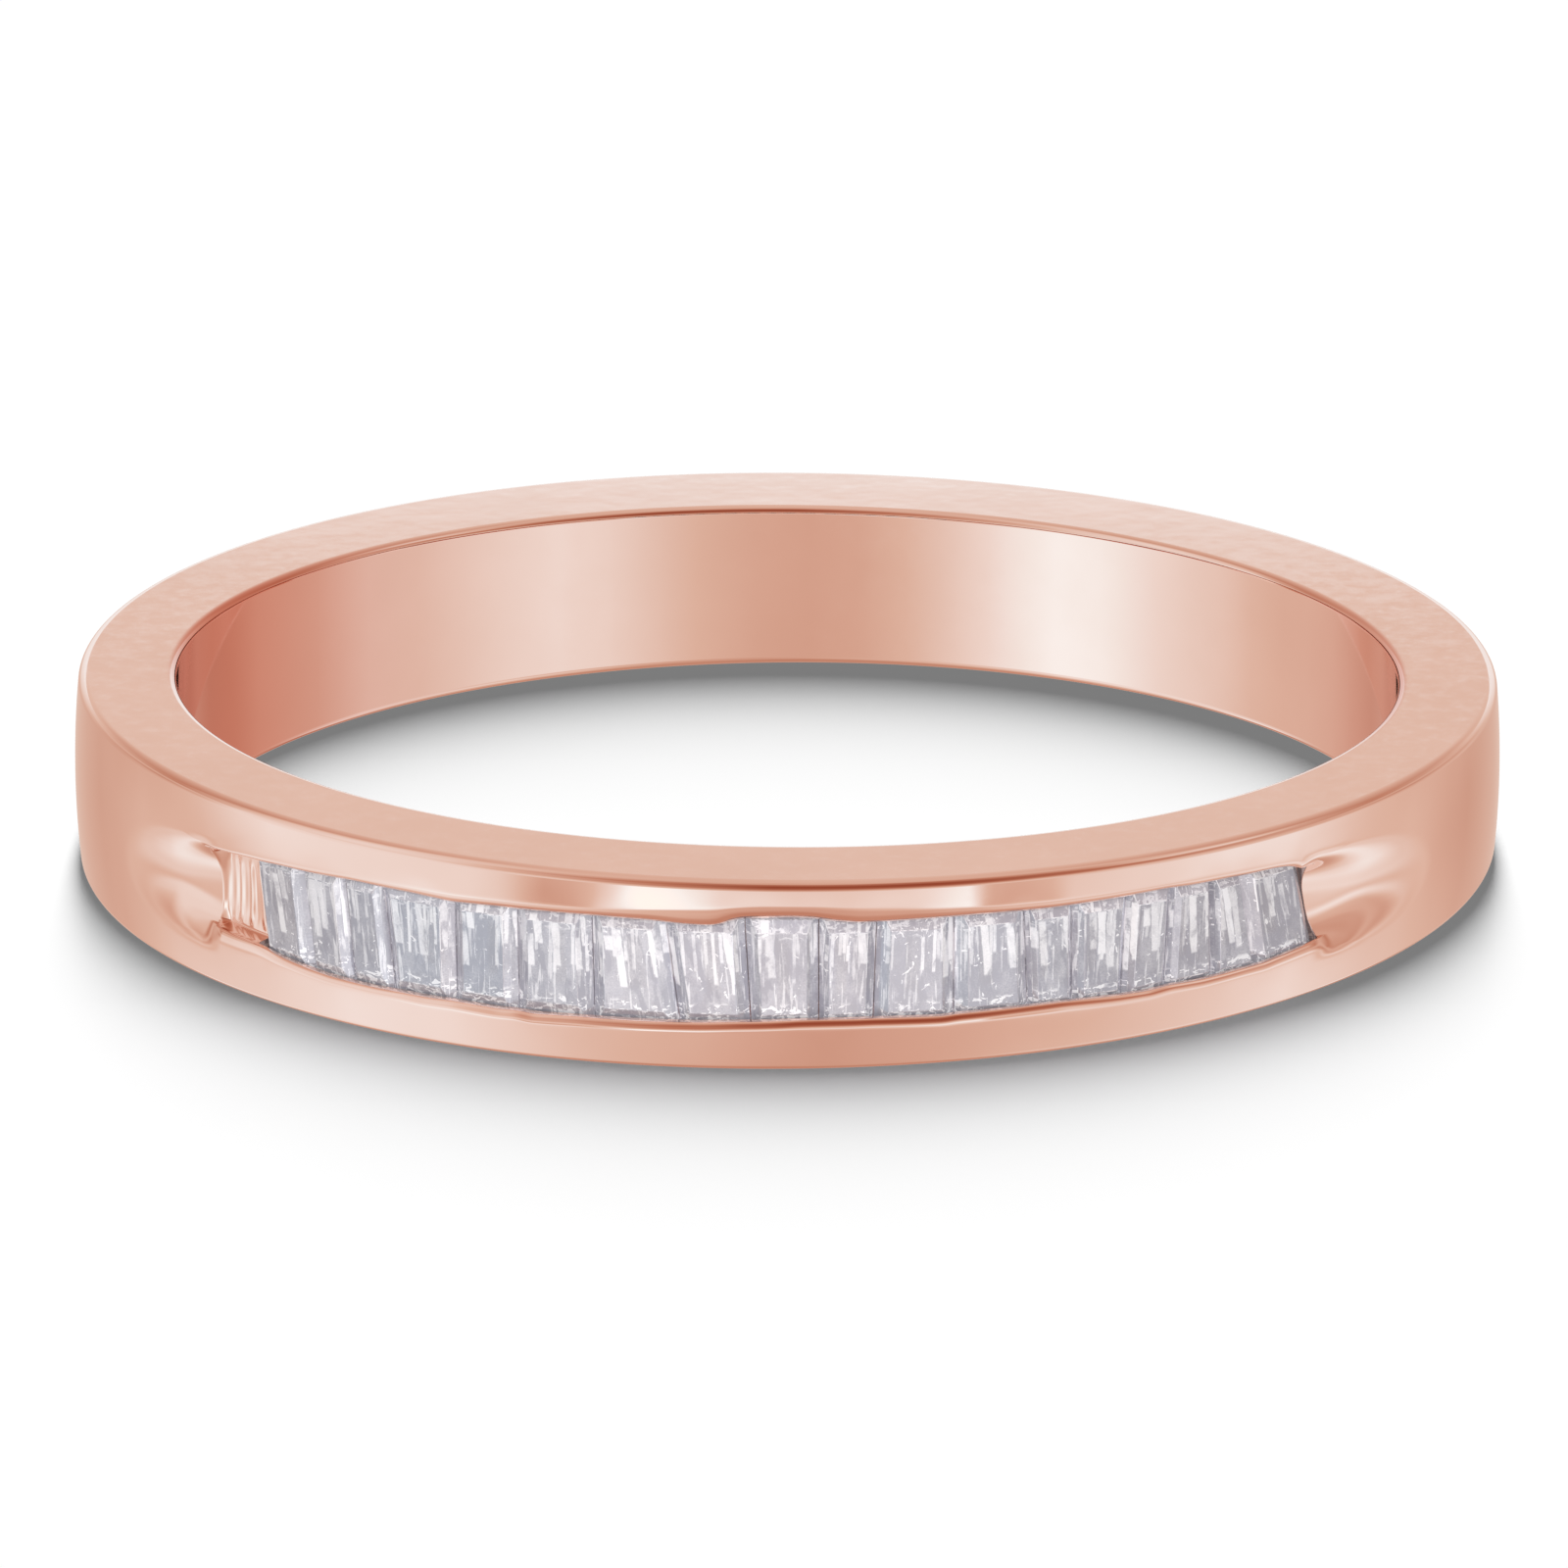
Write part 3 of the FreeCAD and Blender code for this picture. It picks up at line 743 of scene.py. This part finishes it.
def build_stone(node, material, index):
    """Bevels one of the frame's stones and gives each facet its own shade."""
    rng = np.random.default_rng(4100 + index)
    bm = bmesh.new()
    bm.from_mesh(frame["nodes"][node].data)
    bmesh.ops.remove_doubles(bm, verts=bm.verts, dist=2e-7)
    bmesh.ops.dissolve_limit(bm, angle_limit=math.radians(1.0), verts=bm.verts, edges=bm.edges)
    bmesh.ops.bevel(bm, geom=list(bm.edges), offset=STONE_BEVEL * MM, offset_type="OFFSET",
                    segments=1, profile=.5, affect="EDGES", clamp_overlap=True)
    bmesh.ops.recalc_face_normals(bm, faces=bm.faces)
    mesh = bpy.data.meshes.new(node + "_cut")
    bm.to_mesh(mesh)
    bm.free()
    # own axes: across the stone, inwards, and along it
    angle = math.radians((SEAMS[index] + SEAMS[index + 1]) / 2)
    tangent = np.array([math.cos(angle), math.sin(angle), 0])
    outward = np.array([math.sin(angle), -math.cos(angle), 0])
    centre = np.array([0, HEAD_Y, 0])
    co = np.zeros(len(mesh.vertices) * 3)
    mesh.vertices.foreach_get("co", co)
    co = co.reshape(-1, 3) / MM - centre
    lean = math.tan(math.radians((LEANS[index] + LEANS[index + 1]) / 2))
    local = np.stack([co @ tangent + lean * co[:, 2], HEAD_R - co @ outward, co[:, 2]], 1)
    # the stones are pushed nearly into touch, as a setter does
    push = np.clip(local[:, :1] / PUSH_FADE, -1, 1) * STONE_PUSH * MM
    placed = co * MM + centre * MM + push * tangent
    mesh.vertices.foreach_set("co", placed.astype(np.float32).ravel())
    cut = mesh.attributes.new("cut", "FLOAT_VECTOR", "POINT")
    cut.data.foreach_set("vector", local.astype(np.float32).ravel())
    area = np.zeros(len(mesh.polygons))
    mesh.polygons.foreach_get("area", area)
    shade = np.where(area / MM ** 2 > BEVEL_AREA, rng.uniform(-1, 1, len(area)), BEVEL_SHADE)
    facet = mesh.attributes.new("facet", "FLOAT", "FACE")
    facet.data.foreach_set("value", shade.astype(np.float32))
    obj = bpy.data.objects.new(node + "_cut", mesh)
    obj.pass_index = index + 1
    bpy.context.scene.collection.objects.link(obj)
    mesh.materials.append(material)
    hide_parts(node)
    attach(obj, "root")
    return obj


# ------------------------------------------------------------------ studio
# the room as the metal sees it: elevation, then (bearing, brightness) round it; bearing 0 is -Y,
# the camera's side, and grows towards +X, the camera's right
ROOM = [
    (-90, [(-180, .62), (180, .62)]),
    (-68, [(-180, .62), (-110, .62), (-50, .62), (0, .58), (50, .62), (110, .62), (180, .62)]),
    (-54, [(-180, .62), (-140, .62), (-115, .78), (-60, .80), (-35, .66), (0, .60), (35, .64),
           (60, .80), (115, .78), (140, .62), (180, .62)]),
    (-38, [(-180, .62), (-163, .56), (-147, .56), (-137, .72), (-128, .98), (-118, 1.0),
           (-105, .96), (-60, .95), (-40, .86), (-20, .78), (0, .68), (25, .72), (45, .86),
           (70, .93), (105, .96), (118, 1.0), (128, .98), (137, .72), (147, .56), (163, .56),
           (180, .62)]),
    (-25, [(-180, .82), (-159, .77), (-139, .74), (-120, .87), (-99, .91), (-78, .98), (-57, .96),
           (-35, .84), (-13, .78), (9, .69), (31, .75), (53, .81), (74, .87), (95, .96),
           (115, .87), (135, .81), (155, .755), (174, .76), (180, .80)]),
    (-16, [(-180, .79), (-160, .74), (-146, .70), (-134, .76), (-126, .80), (-116, .81),
           (-108, .80), (-98, .82), (-90, .87), (-81, .91), (-71, .97), (-61, 1.04), (-51, 1.06),
           (-41, .99), (-31, .90), (-22, .82), (-12, .75), (-2, .725), (8, .75), (18, .80),
           (28, .87), (37, .935), (47, .96), (57, .93), (67, .89), (77, .86), (90, .87),
           (104, .82), (124, .81), (134, .74), (146, .68), (180, .79)]),
    (-9, [(-180, .80), (-150, .72), (-134, .70), (-120, .76), (-108, .84), (-99, .93), (-91, .97),
          (-50, .94), (-45.7, .90), (-41.5, .80), (-38, .70), (-34, .73), (-30, .79), (-26, .96),
          (-22, 1.22), (-18, 1.19), (-14, 1.09), (-8, .99), (2, .93), (12, .91), (22, .94),
          (27, 1.0), (32.5, 1.07), (35.5, .76), (40, .74), (46, .785), (50, .88), (65, .935),
          (80, .985), (93, .98), (108, .85), (122, .77)]),
    (2, [(-180, .97), (-165, .95), (-140, .72), (-118, .62), (-107, .74), (-98, .93), (-60, .95),
         (-30, .86), (0, .76), (30, .82), (60, .86), (92, .78), (118, .62), (140, .70),
         (165, .95), (180, .97)]),
    (8, [(-180, .98), (-165, .96), (-140, .78), (-118, .76), (-107, .80), (-98, .93), (-60, .93),
         (-30, .76), (0, .58), (30, .62), (60, .78), (92, .76), (116, .74), (140, .76),
         (165, .96), (180, .98)]),
    (14.8, [(-180, 1.0), (-165, .98), (-145, .78), (-116, .58), (-104, .74), (-98, .90),
            (-60, .88), (-30, .66), (0, .45), (30, .46), (60, .64), (92, .70), (116, .58),
            (145, .78), (165, .97), (180, 1.0)]),
    (15.4, [(-180, .82), (-150, .80), (-116, .58), (-104, .74), (-98, .90), (-60, .88),
            (-30, .64), (0, .43), (30, .44), (60, .62), (92, .70), (116, .58), (150, .80),
            (180, .81)]),
    (25, [(-180, .80), (-122, .58), (-104, .82), (-80, .93), (-60, .90), (-40, .72), (-20, .58),
          (0, .36), (30, .34), (60, .48), (80, .60), (100, .70), (120, .58), (180, .80)]),
    (38, [(-180, .80), (-122, .60), (-104, .84), (-80, .93), (-62, .88), (-40, .64), (-20, .50),
          (0, .32), (30, .32), (55, .46), (75, .84), (95, .92), (120, .62), (180, .80)]),
    (52, [(-180, .80), (-120, .66), (-90, .88), (-60, .84), (-30, .62), (0, .42), (30, .44),
          (60, .62), (90, .80), (120, .66), (180, .80)]),
    (75, [(-180, .78), (-60, .78), (0, .72), (60, .76), (180, .78)]),
]
# colour of the room, each placed at the brightness of its red: dim is warm, bright is white
ROOM_TINTS = [(0, 0, 0), (.30, .066, .031), (.55, .256, .173), (.63, .37, .28), (.74, .52, .43),
              (.81, .64, .555), (.95, .95, .95), (.977, 1.03, 1.06), (1.014, 1.14, 1.19),
              (1.07, 1.27, 1.36), (1.2, 1.36, 1.4)]
ROOM_MAX = 1.4       # brightness that the ramps hold as 1

FLOOR_HALF = .4      # metres
FLOOR_GAP = .00001   # metres below the ring
CAMERA_AZ, CAMERA_EL, CAMERA_DIST = 2.0, 16.75, .25    # degrees, degrees, metres
STRIP_EL, STRIP_DIST = 54, 5                           # degrees, metres
# lamps on the stones: name, bearing, elevation, angular size, strength
FILLS = [("fill_left", -35, 40, 80, 1.35),
         ("fill_right", 40, 25, 80, 1.25),
         ("fill_low", 0, -25, 70, 1.25)]


def studio_world():
    world = bpy.data.worlds.new("soft_studio")
    bpy.context.scene.world = world
    world.use_nodes = True
    nodes = Nodes(world.node_tree)
    out = nodes.new("ShaderNodeOutputWorld")
    x, y, z = nodes.separate(nodes.new("ShaderNodeTexCoord").outputs["Generated"])
    bearing = nodes.math("ARCTAN2", x, nodes.mul(y, -1.0))
    turn = nodes.add(nodes.math("DIVIDE", bearing, 2 * math.pi), .5)
    elevation = nodes.mul(nodes.math("ARCSINE", z), 180 / math.pi)

    def row(table):
        return nodes.ramp(turn, [((a + 180) / 360, (v / ROOM_MAX,) * 3) for a, v in table])

    value = row(ROOM[0][1])
    for (low, _), (high, table) in zip(ROOM, ROOM[1:]):
        value = nodes.mix_value(nodes.step(elevation, low, high), value, row(table))
    tint = nodes.ramp(value, [(color[0] / ROOM_MAX, tuple(c / ROOM_MAX for c in color))
                              for color in ROOM_TINTS])
    lit = nodes.mix_color(1.0, tint, (ROOM_MAX, ROOM_MAX, ROOM_MAX, 1), blend="MULTIPLY")
    ray = nodes.new("ShaderNodeLightPath").outputs
    # what shines through the stones is the same room without its warmth, with more contrast
    plain = nodes.mul(nodes.math("POWER", value, 2.0), 2.4)
    grey = nodes.new("ShaderNodeCombineColor", {k: plain for k in range(3)}).outputs[0]
    color = nodes.mix_color(ray["Is Glossy Ray"], grey, lit)
    color = nodes.mix_color(ray["Is Diffuse Ray"], color, (0, 0, 0, 1))
    color = nodes.mix_color(ray["Is Camera Ray"], color, (1, 1, 1, 1))
    back = nodes.new("ShaderNodeBackground", {"Color": color, "Strength": 1.0})
    nodes.tree.links.new(back.outputs[0], out.inputs[0])
    world.cycles.sampling_method = "NONE"


def studio_floor(z):
    """A plain pale sheet under the ring."""
    mesh = bpy.data.meshes.new("studio_floor")
    corners = [(x * FLOOR_HALF, y * FLOOR_HALF, z)
               for x, y in ((-1, -1), (1, -1), (1, 1), (-1, 1))]
    mesh.from_pydata(corners, [], [(0, 1, 2, 3)])
    floor = bpy.data.objects.new("studio_floor", mesh)
    bpy.context.scene.collection.objects.link(floor)
    mat, nodes, surface = new_material("studio_paper")
    paper = nodes.new("ShaderNodeBsdfDiffuse", {"Color": (.9, .9, .9, 1)})
    fill = nodes.new("ShaderNodeEmission", {"Strength": .20})
    both = nodes.new("ShaderNodeAddShader", {0: paper.outputs[0], 1: fill.outputs[0]})
    nodes.tree.links.new(both.outputs[0], surface)
    mesh.materials.append(mat)
    floor.visible_glossy = False
    floor.visible_transmission = False
    floor.visible_diffuse = False
    floor.visible_shadow = False
    return floor


def add_aimed(name, data, bearing, elevation, distance=0):
    """Adds a light or camera that looks at the origin from a bearing and elevation."""
    obj = bpy.data.objects.new(name, data)
    bpy.context.scene.collection.objects.link(obj)
    az, el = math.radians(bearing), math.radians(elevation)
    back = Vector((math.sin(az) * math.cos(el), -math.cos(az) * math.cos(el), math.sin(el)))
    obj.location = back * distance
    obj.rotation_mode = "QUATERNION"
    obj.rotation_quaternion = (-back).to_track_quat("-Z", "Y")
    return obj


def lit_group(name, objects):
    group = bpy.data.collections.new(name)
    for obj in objects:
        group.objects.link(obj)
    return group


def studio_lights(floor, stones):
    """A long narrow softbox facing the camera for the floor, and soft lamps for the stones."""
    on_floor = lit_group("lit_floor", [floor])
    on_stones = lit_group("lit_stones", stones)

    light = bpy.data.lights.new("strip_softbox", "AREA")
    light.shape = "RECTANGLE"
    light.size, light.size_y = .80, 7.3    # metres
    light.energy = 365.0
    strip = add_aimed("strip_softbox", light, CAMERA_AZ + 180, STRIP_EL, STRIP_DIST)
    strip.light_linking.receiver_collection = on_floor

    for name, bearing, elevation, angle, strength in FILLS:
        light = bpy.data.lights.new(name, "SUN")
        light.energy = strength
        light.angle = math.radians(angle)
        lamp = add_aimed(name, light, bearing, elevation)
        lamp.light_linking.receiver_collection = on_stones


def studio_camera():
    cam = bpy.data.cameras.new("camera")
    obj = add_aimed("camera", cam, CAMERA_AZ, CAMERA_EL, CAMERA_DIST)
    cam.sensor_width = 36.0
    cam.lens = 404.55
    cam.shift_x = -0.0020625
    cam.shift_y = -0.0180625
    cam.clip_start, cam.clip_end = .01, 20.0
    bpy.context.scene.camera = obj


# ------------------------------------------------------------------ put it together
band_mesh = make_mesh("band_cast", *build_band())
band = bpy.data.objects.new("band_cast", band_mesh)
bpy.context.scene.collection.objects.link(band)
band.visible_diffuse = False
band_mesh.materials.append(rose_gold())
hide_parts("band")
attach(band, "root")

stone_mat = stone_material()
stone_names = sorted(name for name in frame["nodes"] if name.startswith("baguette_"))
stones = [build_stone(name, stone_mat, k) for k, name in enumerate(stone_names)]

studio_world()
studio_lights(studio_floor(cad_lo.z - FLOOR_GAP), stones)
studio_camera()

view = bpy.context.scene.view_settings
view.view_transform = "Standard"
view.look = "None"
view.exposure = 0.0
view.gamma = 1.0
